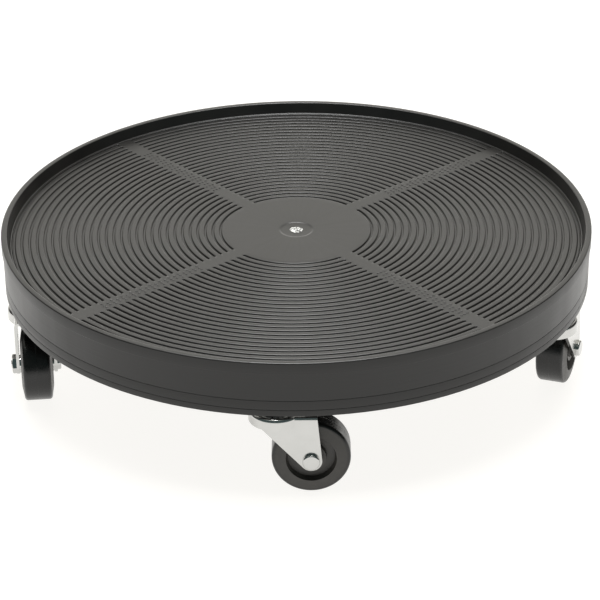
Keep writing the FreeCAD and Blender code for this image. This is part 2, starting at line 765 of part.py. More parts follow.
def turn_about_axle(item, heading):
    """The other way round on the same axle: half a turn about the upright line through the wheel."""
    item.Placement = Placement(item.Placement.Base, Rotation(Vector(0, 0, 1), heading + 180.0))
    for axis, part in (("x", "cos"), ("y", "sin")):
        before = dict(item.ExpressionEngine)[f".Placement.Base.{axis}"]
        shift = bound(f"2 * trail * {part}({heading} * 1deg)")
        item.setExpression(f".Placement.Base.{axis}", f"{before} + {shift}")


def make_caster(index, name, head_side, lean):
    """All pieces of one caster, at its station."""
    angle = station_angle(index)
    heading = angle + 90.0 + lean
    fixed = [
        make_plate(f"plate_{name}"),
        make_kingpin(f"kingpin_{name}"),
        make_balls(f"upper_balls_{name}", "ball_upper", "ring_upper", "upper_ball_level"),
        make_balls(f"lower_balls_{name}", "ball_lower", "ring_lower", "lower_ball_level"),
        make_lower_race(f"lower_race_{name}"),
    ]
    swivelling = [
        make_fork(f"fork_{name}"),
        make_bush(f"bush_{name}"),
        make_spacers(f"spacers_{name}"),
        make_wheel(f"wheel_{name}"),
    ]
    bolted = [make_axle_bolt(f"axle_bolt_{name}"), make_nut(f"axle_nut_{name}")]
    for item in fixed:
        stand(item, index, angle)
    for item in swivelling + bolted:
        stand(item, index, heading)
    if head_side > 0:
        for item in bolted:
            turn_about_axle(item, heading)


def report_levels():
    """Print the heights and radii that the record states."""
    for name in ("floor_top", "lip_top", "skirt_bottom", "mount_level", "web_top", "caster_circle",
                 "wall_foot", "rib_bottom"):
        print(f"{name}: {number(name):.3f}")
    for index, (name, head_side, lean) in enumerate(STATIONS):
        print(f"{name}: station {station_angle(index):.1f}, heading {station_angle(index) + 90 + lean:.1f}")


def check_and_write():
    """Stop on any failed object or bad solid, then write each node as STEP."""
    doc.recompute()
    for item in doc.Objects:
        if "Invalid" in item.State or "Error" in item.State:
            raise RuntimeError(f"{item.Name}: {item.State}")
    for item in nodes:
        if item.Shape.isNull() or not item.Shape.isValid():
            raise RuntimeError(f"{item.Label}: bad shape")
    os.makedirs("parts", exist_ok=True)
    for item in nodes:
        item.Shape.exportStep(f"parts/{item.Label}.step")
    print("nodes:", len(nodes))


make_tray()
make_screws()
for station, (station_name, head_side, lean) in enumerate(STATIONS):
    make_caster(station, station_name, head_side, lean)
report_levels()
check_and_write()
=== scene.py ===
# %% [markdown]
# # A plant pot caddy
# A round tray of black polypropylene on five swivel casters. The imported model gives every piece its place
# and its motion. This script gives them their looks, one piece and one finish at a time.

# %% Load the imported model
import bmesh
import bpy
import json
import math
import random
from mathutils import Matrix, Vector


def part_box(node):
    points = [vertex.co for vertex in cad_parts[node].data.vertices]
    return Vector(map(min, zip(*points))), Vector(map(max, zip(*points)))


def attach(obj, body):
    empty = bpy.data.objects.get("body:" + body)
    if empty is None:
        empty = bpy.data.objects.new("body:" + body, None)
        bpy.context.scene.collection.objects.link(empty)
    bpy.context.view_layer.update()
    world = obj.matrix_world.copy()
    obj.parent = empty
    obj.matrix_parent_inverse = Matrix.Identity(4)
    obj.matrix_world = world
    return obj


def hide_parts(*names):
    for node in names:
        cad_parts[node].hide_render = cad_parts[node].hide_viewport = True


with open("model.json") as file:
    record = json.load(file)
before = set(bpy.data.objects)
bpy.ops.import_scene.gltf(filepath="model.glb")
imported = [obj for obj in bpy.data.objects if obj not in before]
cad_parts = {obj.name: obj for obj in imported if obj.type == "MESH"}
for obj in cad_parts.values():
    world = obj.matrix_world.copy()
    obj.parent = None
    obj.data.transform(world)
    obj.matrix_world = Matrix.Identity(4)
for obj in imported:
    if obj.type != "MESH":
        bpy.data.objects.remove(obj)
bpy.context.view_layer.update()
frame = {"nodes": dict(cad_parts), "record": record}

nodes = frame["nodes"]
stations = sorted(name[len("wheel_"):] for name in nodes if name.startswith("wheel_"))
MM = 0.001
print("nodes", len(nodes), "casters", stations)

# %% [markdown]
# ## Where things are
# The tray's own box gives its radius, the height of its lip and the foot of its skirt. The other sizes of
# the moulding are measured from those, in millimetres, so the visual model stays on the solid one.

# %% Main sizes of the tray
LIP_HEIGHT = 11.8

tray_low, tray_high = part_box("tray")
RADIUS = tray_high.x / MM
LIP_TOP = tray_high.z / MM
FOOT = tray_low.z / MM
FLOOR = LIP_TOP - LIP_HEIGHT
print("radius", round(RADIUS, 2), "floor", round(FLOOR, 2))
print("lip", round(LIP_TOP, 2), "foot", round(FOOT, 2))

# %% [markdown]
# ## The camera
# A long lens from far away keeps the tray's ellipse nearly flat, the way a catalogue picture of a wide, low
# object is taken. It looks slightly down on the tray and aims a little below its floor, and a small roll
# tips the tray's left side down.

# %% Camera
AZIMUTH = math.radians(4.4)
ELEVATION = math.radians(26.506)
PITCH = math.radians(28.071)
ROLL = 0.0129
DISTANCE = 2.6924
LENS = 155.5
SIDE_SHIFT = 0.0048

level_away = Vector((-math.sin(AZIMUTH), math.cos(AZIMUTH), 0))
look = level_away * math.cos(PITCH) - Vector((0, 0, math.sin(PITCH)))
right = look.cross(Vector((0, 0, 1))).normalized()
up = right.cross(look)
rolled_right = right * math.cos(ROLL) - up * math.sin(ROLL)
rolled_up = right * math.sin(ROLL) + up * math.cos(ROLL)

camera = bpy.data.objects.new("camera", bpy.data.cameras.new("camera"))
bpy.context.scene.collection.objects.link(camera)
camera.matrix_world = Matrix((rolled_right, rolled_up, -look)).transposed().to_4x4()
camera.location = (
    Vector((0, 0, FLOOR * MM))
    - level_away * DISTANCE * math.cos(ELEVATION)
    + Vector((0, 0, DISTANCE * math.sin(ELEVATION)))
)
camera.data.lens = LENS
camera.data.shift_x = SIDE_SHIFT
camera.data.clip_end = 20
bpy.context.scene.camera = camera
print("camera", [round(v, 3) for v in camera.location])

# %% [markdown]
# ## Nodes and colours
# Every material is a small tree of nodes. One function adds a node, sets it up, links its inputs and hands
# back the output that the next node needs, so a material below reads as a list of what happens to the
# surface. Colours are written as the usual sRGB hex values, and one function turns them into the linear
# numbers that light is reckoned in. A noise is scaled by the real width of its blobs. Most of its values
# lie between 0.3 and 0.7, so a Map Range usually reads that range.

# %% Helpers for materials
def linear(code):
    """A colour such as "8a8a86" as linear red, green, blue and alpha."""
    parts = [int(code[place:place + 2], 16) / 255 for place in (0, 2, 4)]
    parts = [part / 12.92 if part <= 0.04045 else ((part + 0.055) / 1.055) ** 2.4 for part in parts]
    return parts + [1.0]


def node(tree, kind, inputs=(), out=0, **settings):
    """Adds a node and gives back one of its outputs. An input is a value or another node's output.

    The inputs are a list in the order of the node's sockets, or a dict by a socket's name or number.
    """
    made = tree.nodes.new("ShaderNode" + kind)
    for setting, value in settings.items():
        setattr(made, setting, value)
    pairs = inputs.items() if isinstance(inputs, dict) else enumerate(inputs)
    for socket, value in pairs:
        if isinstance(value, bpy.types.NodeSocket):
            tree.links.new(value, made.inputs[socket])
        else:
            made.inputs[socket].default_value = value
    return made.outputs[out]


def material(name, roughness, metallic=0.0, ior=None):
    """A new material: (material, its tree, the inputs of its Principled shader)."""
    made = bpy.data.materials.new(name)
    made.use_nodes = True
    inputs = made.node_tree.nodes["Principled BSDF"].inputs
    inputs["Roughness"].default_value = roughness
    inputs["Metallic"].default_value = metallic
    if ior is not None:
        inputs["IOR"].default_value = ior
    return made, made.node_tree, inputs


def per_metre(size):
    """The scale that makes a noise's blobs about this many millimetres across."""
    return 1.0 / (size * MM)


MIX_COLOUR, FIRST_COLOUR, SECOND_COLOUR = 2, 6, 7
print("black plastic #141312 is", [round(part, 4) for part in linear("141312")[:3]])

# %% [markdown]
# ## Black polypropylene
# The tray is polypropylene with carbon black, injection moulded through one gate in the middle of its
# floor. The mould's surface was lightly blasted, so the plastic comes out satin: it looks nearly black
# where it mirrors something dark and a warm grey where it mirrors something bright. The melt ran outwards
# from the gate, which leaves faint streaks along the radius, and the skirt's side of the mould was turned,
# which leaves faint lines round it. The blasted grain is about a third of a millimetre across; it is drawn
# three times as coarse so that it shows. A plain colour with one roughness would look like paint, so the
# streaks drive both.

# %% Polypropylene
POLYPROPYLENE_IOR = 1.49
SATIN = 0.35
STREAK_WIDTH = 1 / 9
CLOUD_WIDTH = 45.0
TURNED_PITCH = 3.0
SINK_WIDTH = 30.0
GRAIN_WIDTH = 1.0

black_plastic, tree, surface = material("black_polypropylene", roughness=SATIN, ior=POLYPROPYLENE_IOR)
place = node(tree, "TexCoord", out="Object")
flat = node(tree, "VectorMath", [place, (1, 1, 0)], operation="MULTIPLY")
heading = node(tree, "VectorMath", [flat], operation="NORMALIZE")
streaks = node(tree, "TexNoise", {"Vector": heading, "Scale": 1 / STREAK_WIDTH, "Detail": 4.0})
clouds = node(tree, "TexNoise", {"Vector": place, "Scale": per_metre(CLOUD_WIDTH)})
streaked = node(tree, "MapRange", [streaks, 0.3, 0.7, 0, 0.6])
clouded = node(tree, "MapRange", [clouds, 0.3, 0.7, 0, 0.4])
mottle = node(tree, "Math", [streaked, clouded])
colours = {0: mottle, FIRST_COLOUR: linear("141312"), SECOND_COLOUR: linear("1c1b19")}
tree.links.new(node(tree, "Mix", colours, MIX_COLOUR, data_type="RGBA"), surface["Base Color"])
tree.links.new(node(tree, "MapRange", [mottle, 0, 1, SATIN - 0.05, SATIN + 0.07]), surface["Roughness"])

level = node(tree, "VectorMath", [place, (0.03, 0.03, 1)], operation="MULTIPLY")
turned = node(tree, "TexNoise", {"Vector": level, "Scale": per_metre(TURNED_PITCH), "Detail": 3.0})
sunk = node(tree, "TexNoise", {"Vector": place, "Scale": per_metre(SINK_WIDTH), "Detail": 1.0})
grain = node(tree, "TexNoise", {"Vector": place, "Scale": per_metre(GRAIN_WIDTH), "Detail": 2.0})
lined = node(tree, "Bump", {"Height": turned, "Distance": 0.09 * MM})
waved = node(tree, "Bump", {"Height": sunk, "Distance": 0.04 * MM, "Normal": lined})
grained = node(tree, "Bump", {"Height": grain, "Distance": 0.02 * MM, "Normal": waved})
tree.links.new(grained, surface["Normal"])
print("made", black_plastic.name)

# %% [markdown]
# ## Torn polypropylene
# The sprue was broken off the gate and left a rough stub. Polypropylene whitens where it is stretched until
# it tears, and the stub's cut face glints, so the stub is painted far paler than the tray, in glassy lumps
# of
# one or two millimetres: the near-white lumps are partly that whitening and partly a painted glint. Lumps
# that are either dark or pale look torn, so the noise is mapped with a steep step.

# %% Torn plastic
LUMP_WIDTH = 2.2
TEAR_WIDTH = 1.2

torn_plastic, tree, surface = material("whitened_polypropylene_and_painted_glint", 0.28, ior=POLYPROPYLENE_IOR)
place = node(tree, "TexCoord", out="Object")
lumps = node(tree, "TexNoise", {"Vector": place, "Scale": per_metre(LUMP_WIDTH), "Detail": 3.0})
# The pale lumps are partly whitened plastic and partly a painted glint on the stub's torn face.
whitened_and_painted_glint = node(tree, "MapRange", [lumps, 0.42, 0.60, 0, 1])
colours = {0: whitened_and_painted_glint, FIRST_COLOUR: linear("50504e"), SECOND_COLOUR: linear("e4e4e0")}
tree.links.new(node(tree, "Mix", colours, MIX_COLOUR, data_type="RGBA"), surface["Base Color"])
tears = node(tree, "TexNoise", {"Vector": place, "Scale": per_metre(TEAR_WIDTH), "Detail": 3.0})
tree.links.new(node(tree, "Bump", {"Height": tears, "Distance": 0.5 * MM}), surface["Normal"])
print("made", torn_plastic.name)

# %% [markdown]
# ## Bright zinc plate
# The forks, plates, screws and nuts are steel with bright zinc plate and a blue passivate. The steel was
# rolled before it was pressed, and the plating keeps its fine grain, so the metal is bright but not a
# mirror. The grain is drawn 0.8 mm wide, coarser than the real tenth of a millimetre. Bolts, nuts and
# screws are plated in a barrel, where they rub each other smooth, so they get a copy with more polish.

# %% Zinc plate
PLATE_CLOUD = 12.0
ROLLED_GRAIN = 0.8
PRESSED_WAVE = 9.0


def zinc(name, polish):
    """Zinc plate with this roughness on average."""
    made, tree, surface = material(name, roughness=polish, metallic=1.0)
    place = node(tree, "TexCoord", out="Object")
    clouds = node(tree, "TexNoise", {"Vector": place, "Scale": per_metre(PLATE_CLOUD), "Detail": 3.0})
    mottle = node(tree, "MapRange", [clouds, 0.3, 0.7, 0, 1])
    colours = {0: mottle, FIRST_COLOUR: linear("c2c2c0"), SECOND_COLOUR: linear("c6c6c4")}
    tree.links.new(node(tree, "Mix", colours, MIX_COLOUR, data_type="RGBA"), surface["Base Color"])
    rubbed = node(tree, "MapRange", [clouds, 0.3, 0.7, polish - 0.03, polish + 0.03])
    tree.links.new(rubbed, surface["Roughness"])
    stretched = node(tree, "VectorMath", [place, (1, 1, 0.25)], operation="MULTIPLY")
    grain = node(tree, "TexNoise", {"Vector": stretched, "Scale": per_metre(ROLLED_GRAIN), "Detail": 2.0})
    waves = node(tree, "TexNoise", {"Vector": place, "Scale": per_metre(PRESSED_WAVE), "Detail": 1.0})
    grained = node(tree, "Bump", {"Height": grain, "Distance": 0.004 * MM})
    waved = node(tree, "Bump", {"Height": waves, "Distance": 0.012 * MM, "Normal": grained})
    tree.links.new(waved, surface["Normal"])
    return made


bright_zinc = zinc("bright_zinc_plate", polish=0.20)
barrel_zinc = zinc("barrel_plated_bright_zinc", polish=0.14)
print("made", bright_zinc.name, barrel_zinc.name)

# %% [markdown]
# ## Bearing steel
# The balls are through-hardened chrome steel, ground and then tumbled with oil, and the bush round each
# axle is ground steel tube. Both are bluish and close to a mirror, with a thin uneven film of grease that
# dulls them.

# %% Bearing steel
FILM_WIDTH = 4.0
GREASE_RIPPLE = 2.0

bearing_steel, tree, surface = material("ground_bearing_steel", roughness=0.12, metallic=1.0)
place = node(tree, "TexCoord", out="Object")
film = node(tree, "TexNoise", {"Vector": place, "Scale": per_metre(FILM_WIDTH), "Detail": 3.0})
greased = node(tree, "MapRange", [film, 0.3, 0.7, 0, 1])
colours = {0: greased, FIRST_COLOUR: linear("aeb2b6"), SECOND_COLOUR: linear("c6c8ca")}
tree.links.new(node(tree, "Mix", colours, MIX_COLOUR, data_type="RGBA"), surface["Base Color"])
tree.links.new(node(tree, "MapRange", [film, 0.3, 0.7, 0.08, 0.24]), surface["Roughness"])
ripple = node(tree, "TexNoise", {"Vector": place, "Scale": per_metre(GREASE_RIPPLE), "Detail": 3.0})
tree.links.new(node(tree, "Bump", {"Height": ripple, "Distance": 0.01 * MM}), surface["Normal"])
print("made", bearing_steel.name)

# %% [markdown]
# ## Hard rubber wheels
# The wheels are solid hard rubber, moulded in two halves of a steel mould that was turned on a lathe. The
# mould leaves fine rings round the axle on each side, and the halves leave a thin line round the middle of
# the tread. The sides come out dull and dark brown, the tread smoother. The tread is painted blacker than
# the sides, partly for its own black rubber and partly as painted shade for the shadow under the tray.
# The rings are 1.2 mm apart here, coarser than the real half millimetre. A wheel's rings need its own axle,
# so each wheel has a copy of the material with the middle and the direction of its axle written in.

# %% Distances about an axle
joints = {joint["name"]: joint for joint in frame["record"]["behaviour"]["joints"]}


def about_axle(tree, place, joint):
    """Two outputs: the distance along the joint's axle from its middle, and the distance from the axle."""
    offset = node(tree, "VectorMath", [place, joint["pos_m"]], operation="SUBTRACT")
    along = node(tree, "VectorMath", [offset, joint["axis"]], "Value", operation="DOT_PRODUCT")
    axial = node(tree, "VectorMath", {0: joint["axis"], "Scale": along}, operation="SCALE")
    radial = node(tree, "VectorMath", [offset, axial], operation="SUBTRACT")
    return along, node(tree, "VectorMath", [radial], "Value", operation="LENGTH")


print("axles", [name for name in joints if name.endswith("_roll")])

# %% Rubber
RUBBER_IOR = 1.52
RUBBER_CLOUD = 7.0
RUBBER_GRAIN = 1.5
RING_PITCH = 1.2 * MM
SEAM_HALF_WIDTH = 0.5 * MM
SIDE_ENDS = 34.0 * MM
TREAD_STARTS = 36.5 * MM
TREAD_POLISH = 0.14


def hard_rubber(station):
    """The rubber of one wheel, with its rings round that wheel's axle."""
    made, tree, surface = material("hard_rubber_" + station, roughness=0.42, ior=RUBBER_IOR)
    place = node(tree, "TexCoord", out="Object")
    along, radius = about_axle(tree, place, joints[station + "_roll"])
    clouds = node(tree, "TexNoise", {"Vector": place, "Scale": per_metre(RUBBER_CLOUD), "Detail": 3.0})
    mottle = node(tree, "MapRange", [clouds, 0.3, 0.7, 0, 1])
    browns = {0: mottle, FIRST_COLOUR: linear("373431"), SECOND_COLOUR: linear("423f3b")}
    # The tread's black is partly the rubber's own colour and partly painted shade for the shadow under the
    # tray.
    tread_black_and_painted_shade = {0: mottle, FIRST_COLOUR: linear("0b0b0a"), SECOND_COLOUR: linear("11100f")}
    side = node(tree, "Mix", browns, MIX_COLOUR, data_type="RGBA")
    tread = node(tree, "Mix", tread_black_and_painted_shade, MIX_COLOUR, data_type="RGBA")
    outer = node(tree, "MapRange", [radius, SIDE_ENDS, TREAD_STARTS, 0, 1])
    colours = {0: outer, FIRST_COLOUR: side, SECOND_COLOUR: tread}
    tree.links.new(node(tree, "Mix", colours, MIX_COLOUR, data_type="RGBA"), surface["Base Color"])
    dull = node(tree, "MapRange", [clouds, 0.3, 0.7, 0.38, 0.48])
    polish = node(tree, "Math", [outer, TREAD_POLISH], operation="MULTIPLY")
    tree.links.new(node(tree, "Math", [dull, polish], operation="SUBTRACT"), surface["Roughness"])

    turns = node(tree, "Math", [radius, math.tau / RING_PITCH], operation="MULTIPLY")
    rings = node(tree, "Math", [turns], operation="SINE")
    from_middle = node(tree, "Math", [along], operation="ABSOLUTE")
    seam = node(tree, "MapRange", [from_middle, 0, SEAM_HALF_WIDTH, 1, 0])
    grain = node(tree, "TexNoise", {"Vector": place, "Scale": per_metre(RUBBER_GRAIN), "Detail": 3.0})
    ringed = node(tree, "Bump", {"Height": rings, "Distance": 0.012 * MM})
    seamed = node(tree, "Bump", {"Height": seam, "Distance": 0.15 * MM, "Normal": ringed})
    grained = node(tree, "Bump", {"Height": grain, "Distance": 0.03 * MM, "Normal": seamed})
    tree.links.new(grained, surface["Normal"])
    return made


for station in stations:
    wheel = nodes["wheel_" + station]
    wheel.data.materials.clear()
    wheel.data.materials.append(hard_rubber(station))
print("wheels", len(stations))

# %% [markdown]
# ## Finishes for the pieces that stay as they are
# The casters' pieces are already exact, so they only take a finish, and shading that is smooth round each
# curve but sharp at a real edge. A subdivision would round them more, but it would cost many faces on
# pieces that are mostly flat sheet.

# %% Finish the caster pieces
FINISHES = {
    "plate": bright_zinc, "kingpin": bright_zinc, "lower_race": bright_zinc, "fork": bright_zinc,
    "axle_nut": barrel_zinc, "spacers": barrel_zinc, "caster_screws": barrel_zinc, "axle_bolt": barrel_zinc,
    "upper_balls": bearing_steel, "lower_balls": bearing_steel, "bush": bearing_steel,
}
SHARP_FROM = 32.0


def smooth(piece):
    """Smooth shading, with an edge kept sharp where the surface turns by more than the angle."""
    piece.data.shade_smooth()
    piece.data.set_sharp_from_angle(angle=math.radians(SHARP_FROM))


for name, piece in nodes.items():
    kind = next((kind for kind in FINISHES if name.startswith(kind)), None)
    if kind:
        piece.data.materials.clear()
        piece.data.materials.append(FINISHES[kind])
    if name != "tray":
        smooth(piece)
print("finished", len(nodes) - 1)

# %% [markdown]
# ## Making meshes from rings
# The tray is nearly a turned shape, so its mesh is a net: rings of points that go out along the floor, over
# the lip, down the skirt and back under the floor. A Screw modifier would turn a plain section too, but it
# couldn't stop the grooves at the plain bands. Every other piece here is a net of rings as well.

# %% Nets and pieces
def circle(count):
    """The directions of points spaced evenly round a circle, as angles."""
    return [math.tau * step / count for step in range(count)]


def net(rings):
    """Faces between closed rings of points that follow each other, each a list of places in the points."""
    faces = []
    for low, high in zip(rings, rings[1:]):
        for step in range(len(low)):
            following = (step + 1) % len(low)
            faces.append((low[step], low[following], high[following], high[step]))
    return faces


def fan(ring, tip):
    """Faces that close a ring with a point in its middle."""
    return [(ring[step], ring[(step + 1) % len(ring)], tip) for step in range(len(ring))]


def new_piece(name, points, faces, finish, body="caddy"):
    """A mesh from points in millimetres, with one finish, that rides on a body."""
    mesh = bpy.data.meshes.new(name)
    mesh.from_pydata([Vector(point) * MM for point in points], [], faces)
    shape = bmesh.new()
    shape.from_mesh(mesh)
    bmesh.ops.recalc_face_normals(shape, faces=shape.faces)
    shape.to_mesh(mesh)
    shape.free()
    piece = bpy.data.objects.new(name, mesh)
    bpy.context.scene.collection.objects.link(piece)
    mesh.materials.append(finish)
    smooth(piece)
    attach(piece, body)
    return piece


print("a fan of four:", fan([0, 1, 2, 3], 4))

# %% [markdown]
# ## Rounded corners
# A real moulding has no knife edges. This function takes the corners of the half section and puts an arc at
# each, which the light then picks out. A Bevel modifier could do the same, but not with another radius at
# each corner.

# %% Rounded half section
ARC_STEPS = 4


def rounded(corners):
    """The half section with an arc at each corner, which is (radius, height, rounding) in millimetres."""
    points = []
    for index, (across, level, rounding) in enumerate(corners):
        corner = Vector((across, level))
        if rounding == 0:
            points.append(corner)
            continue
        before = (Vector(corners[index - 1][:2]) - corner).normalized()
        after = (Vector(corners[index + 1][:2]) - corner).normalized()
        half = before.angle(after) / 2
        centre = corner + (before + after).normalized() * rounding / math.sin(half)
        start = corner + before * rounding / math.tan(half) - centre
        finish = corner + after * rounding / math.tan(half) - centre
        turn = start.angle_signed(finish)
        for step in range(ARC_STEPS + 1):
            points.append(centre + Matrix.Rotation(-turn * step / ARC_STEPS, 2) @ start)
    return [(point.x, point.y) for point in points]


print("arc of a square corner:", rounded([(0, 0, 0), (10, 0, 2), (10, 10, 0)])[1:4])

# %% [markdown]
# ## The columns of the tray's net
# Four plain bands cross the ring grooves, and their edges are parallel, not radial. So the net's columns
# stand at fixed distances from each band's middle line, close together where a groove runs out, and at even
# angles over the rest. Each column says how much of a groove's depth it has.

# %% Columns
BAND_ANGLE = 45.0
BESIDE_BAND = [
    (0.0, 0.0), (4.3, 0.0), (7.9, 0.0), (8.25, 0.06), (8.5, 0.35), (8.8, 0.65), (9.05, 0.94), (9.4, 1.0),
]
EVEN_COLUMNS = 32
DISC_RADIUS = 70.0


def columns(radius):
    """(angle in degrees, share of the groove's depth) all round a ring of that radius, in millimetres."""
    radius = max(radius, DISC_RADIUS)
    beside = [(math.degrees(math.asin(across / radius)), share) for across, share in BESIDE_BAND]
    first = beside[-1][0]
    pitch = (90 - 2 * first) / EVEN_COLUMNS
    even = [(first + pitch * step, 1.0) for step in range(1, EVEN_COLUMNS)]
    beyond = [(90 - angle, share) for angle, share in reversed(beside[1:])]
    quarter = beside + even + beyond
    return [(BAND_ANGLE + 90 * turn + angle, share) for turn in range(4) for angle, share in quarter]


print("columns", len(columns(RADIUS)))

# %% [markdown]
# ## The floor of the tray
# The floor's rows go out from the gate: the shallow dish with the sprue in it, the plain disc and
# twenty-eight grooves. A groove has steep sides, a flat floor and softly rounded top edges. The edges catch
# the light beside each dark groove.

# %% Rows of the floor
DISH_DEPTH = 0.8
DISH_EDGE = [(15.9, -0.72), (16.7, -0.45), (17.4, -0.15), (18.2, -0.02), (19.2, 0)]
GROOVE_FIRST = 78.7
GROOVE_PITCH = 7.9
GROOVE_COUNT = 28
GROOVE_DEPTH = 1.6
GROOVE_SIDE = [
    (2.6, 0), (2.1, -0.04), (1.7, -0.14), (1.4, -0.36), (1.15, -0.85), (0.95, -1.4), (0.7, -1.58),
]

groove = [(-across, depth) for across, depth in GROOVE_SIDE]
groove += [(0, -GROOVE_DEPTH)]
groove += [(across, depth) for across, depth in reversed(GROOVE_SIDE)]
rows = [(radius, FLOOR - DISH_DEPTH, 0.0) for radius in (2.0, 8.0, 15.0)]
rows += [(radius, FLOOR + depth, 0.0) for radius, depth in DISH_EDGE]
rows += [(45.0, FLOOR, 0.0), (DISC_RADIUS, FLOOR, 0.0)]
for index in range(GROOVE_COUNT):
    middle = GROOVE_FIRST + GROOVE_PITCH * index
    rows += [(middle + across, FLOOR, depth) for across, depth in groove]
print("rows of the floor", len(rows), "last groove at", round(middle, 1))

# %% [markdown]
# ## The lip and the skirt
# The lip's inner wall leans out a little, so that the mould lets go of it. Outside, the lip is the top of a
# band, and below the band the skirt steps in and tapers. Two fine lines are scored round the skirt near its
# foot. The skirt is hollow from below, and the floor's underside closes the net.

# %% Rows of the lip, the skirt and the underside
LIP_LAND = 6.0
LIP_LEAN = 3.3
LIP_ROUND = 1.3
BAND_HEIGHT = 12.0
BAND_STEP = 0.9
SKIRT_TAPER = 0.5
SKIRT_SHEET = 3.0
FLOOR_SHEET = 4.0
FIRST_LINE = 41.7
LINE_PITCH = 10.0
LINE_DEPTH = 0.26

wall_foot = RADIUS - LIP_LAND - LIP_LEAN
skirt_face = RADIUS - BAND_STEP - SKIRT_TAPER
underside_level = FLOOR - FLOOR_SHEET


def scored(level):
    """A fine line scored round the skirt. It slopes in from above and ends in a small ledge."""
    bottom = skirt_face - LINE_DEPTH
    slope = [(skirt_face, level + 0.5, 0.3), (bottom, level + 0.1, 0.04)]
    ledge = [(bottom, level, 0.04), (skirt_face, level - 0.05, 0.15)]
    return slope + ledge


outside = rounded([
    (wall_foot - 1.7, FLOOR, 0),
    (wall_foot, FLOOR, 1.2),
    (RADIUS - LIP_LAND, LIP_TOP, LIP_ROUND),
    (RADIUS, LIP_TOP, LIP_ROUND),
    (RADIUS, LIP_TOP - BAND_HEIGHT, 0.35),
    (RADIUS - BAND_STEP, LIP_TOP - BAND_HEIGHT - 0.3, 0.25),
    *scored(LIP_TOP - FIRST_LINE),
    *scored(LIP_TOP - FIRST_LINE - LINE_PITCH),
    (skirt_face, FOOT, 0.6),
    (skirt_face - SKIRT_SHEET, FOOT, 0.6),
    (skirt_face - SKIRT_SHEET, underside_level, 1.0),
    (RADIUS - 12.0, underside_level, 0),
])
rows += [(radius, level, 0.0) for radius, level in outside]
rows += [(radius, underside_level, 0.0) for radius in (240.0, 160.0, DISC_RADIUS, 20.0)]
print("rows in all", len(rows))

# %% [markdown]
# ## The tray
# Now each row becomes a ring of points, and the net and two fans join them into one closed skin. This piece
# takes the place of the plain tray.

# %% Tray moulding
points = []
rings = []
for radius, level, depth in rows:
    ring = []
    for angle, share in columns(radius):
        ring.append(len(points))
        turn = math.radians(angle)
        points.append((radius * math.cos(turn), radius * math.sin(turn), level + depth * share))
    rings.append(ring)
points += [(0, 0, FLOOR - DISH_DEPTH), (0, 0, underside_level)]
faces = net(rings)
faces += fan(rings[0], len(points) - 2)
faces += fan(rings[-1], len(points) - 1)
tray_moulding = new_piece("tray_moulding", points, faces, black_plastic)
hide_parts("tray")
print("tray points", len(points))

# %% [markdown]
# ## Walls under the floor
# A thin floor this wide would sag, so the moulding has ring ribs and radial ribs under it, and a walled pad
# with four screw bosses over each caster. They are simple walls, so each is a closed box or tube. A
# function makes each kind and adds it to one list of points and one of faces.

# %% Boxes and tubes
points = []
faces = []


def add_box(low, high, turn):
    """A wall between two corners, turned about the tray's axis by an angle in degrees."""
    spin = Matrix.Rotation(math.radians(turn), 3, "Z")
    first = len(points)
    for level in (low[2], high[2]):
        for across, along in ((low[0], low[1]), (high[0], low[1]), (high[0], high[1]), (low[0], high[1])):
            points.append(spin @ Vector((across, along, level)))
    bottom = list(range(first, first + 4))
    top = list(range(first + 4, first + 8))
    faces.extend([bottom, top, *net([bottom, top])])


def add_tube(centre, inner, outer, low, high, count):
    """A ring of wall round a centre, open through its middle."""
    first = len(points)
    for radius, level in ((inner, low), (outer, low), (outer, high), (inner, high)):
        for turn in circle(count):
            points.append((centre[0] + radius * math.cos(turn), centre[1] + radius * math.sin(turn), level))
    edges = [list(range(first + count * index, first + count * (index + 1))) for index in range(4)]
    faces.extend(net(edges + edges[:1]))


print("walls start with", len(points), "points")

# %% [markdown]
# ## Ribs, pads and bosses
# The pads follow the caster plates: the box of the front plate gives its two half sizes and the circle that
# all five stand on. The walls reach a tenth of a millimetre up into the floor, so that no gap shows.

# %% Ribs, pads and bosses
RIB = 3.0
RIB_DEPTH = 10.0
RING_RIBS = (50, 100, 150, 200, 250)
RADIAL_RIBS = 10
CASTERS = len(stations)
SCREW_ALONG = 25.0
SCREW_ACROSS = 13.0
PILOT = 2.15
BOSS = 5.0

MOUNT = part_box("plate_front")[1].z / MM
plate_low, plate_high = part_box("plate_front")
plate_half_width = (plate_high.y - plate_low.y) / 2 / MM
plate_half_length = (plate_high.x - plate_low.x) / 2 / MM
caster_circle = -(plate_high.y + plate_low.y) / 2 / MM
rib_foot = underside_level - RIB_DEPTH
rib_top = underside_level + 0.1
near = caster_circle - plate_half_width - RIB
far = caster_circle + plate_half_width + RIB
half = plate_half_length + RIB


def add_pad(turn):
    """The walls and the bosses over one caster, turned to its place."""
    for low, high in ((near, near + RIB), (far - RIB, far)):
        add_box((low, -half, MOUNT), (high, half, rib_top), turn)
    for along in (-half + RIB / 2, -SCREW_ALONG, SCREW_ALONG, half - RIB / 2):
        low = (near + 0.1, along - RIB / 2 + 0.01, MOUNT + 0.02)
        high = (far - 0.1, along + RIB / 2 - 0.01, rib_top)
        add_box(low, high, turn)
    for out in (-SCREW_ACROSS, SCREW_ACROSS):
        for along in (-SCREW_ALONG, SCREW_ALONG):
            spot = Matrix.Rotation(math.radians(turn), 2) @ Vector((caster_circle + out, along))
            add_tube(spot, PILOT, BOSS, MOUNT - 0.02, rib_top, 24)


